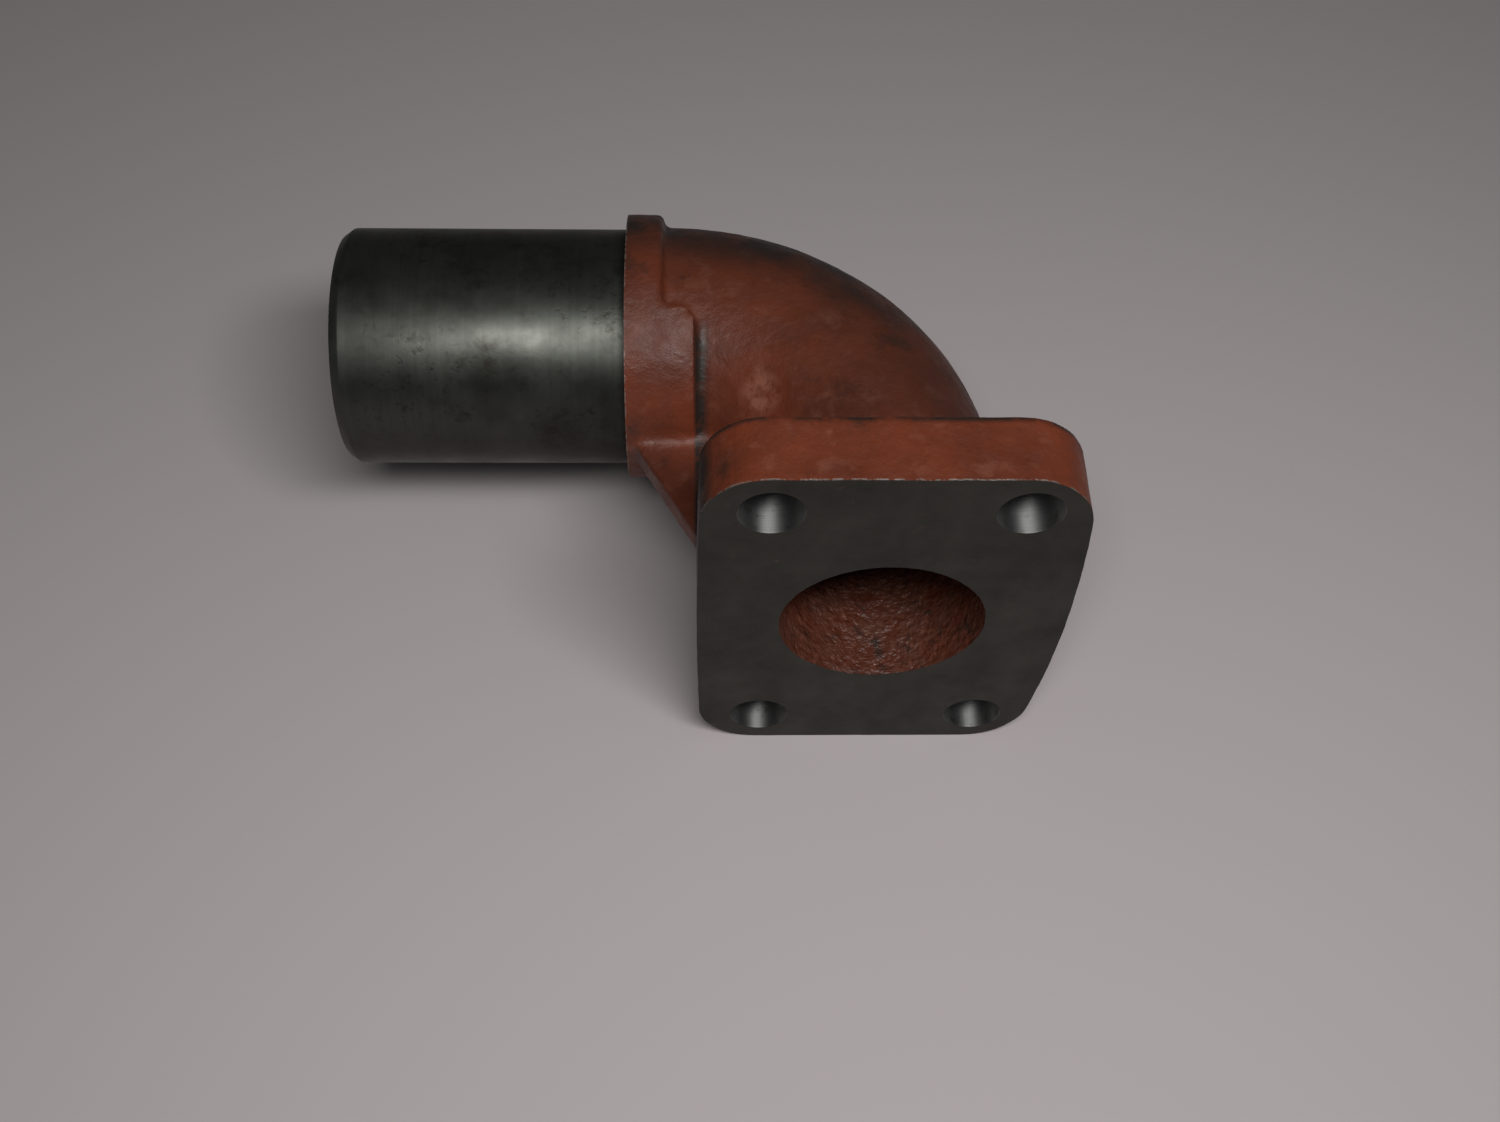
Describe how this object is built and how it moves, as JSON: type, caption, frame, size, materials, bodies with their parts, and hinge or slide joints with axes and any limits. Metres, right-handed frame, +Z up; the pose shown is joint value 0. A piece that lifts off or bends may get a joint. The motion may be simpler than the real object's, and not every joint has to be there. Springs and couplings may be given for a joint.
{
  "type": "pipe elbow",
  "caption": "Cast right-angle pipe elbow with a rectangular bolted flange, a collared round bend, a corner web and a turned straight spigot for a hose.",
  "frame": {"origin": "centre of the flange's mating face, on the port's axis", "axes": "+Z up along the flange's long side, the mating face looks along -Y, and the spigot leaves along -X"},
  "size_m": [0.1315, 0.0885, 0.085],
  "materials": {
    "primed_casting": "red oxide primer on a sand-cast surface, bare where machined",
    "turned_steel": "fine turned, dull grey"
  },
  "bodies": {
    "root": {"elbow_casting": "primed_casting", "spigot_tube": "turned_steel"}
  },
  "joints": []
}
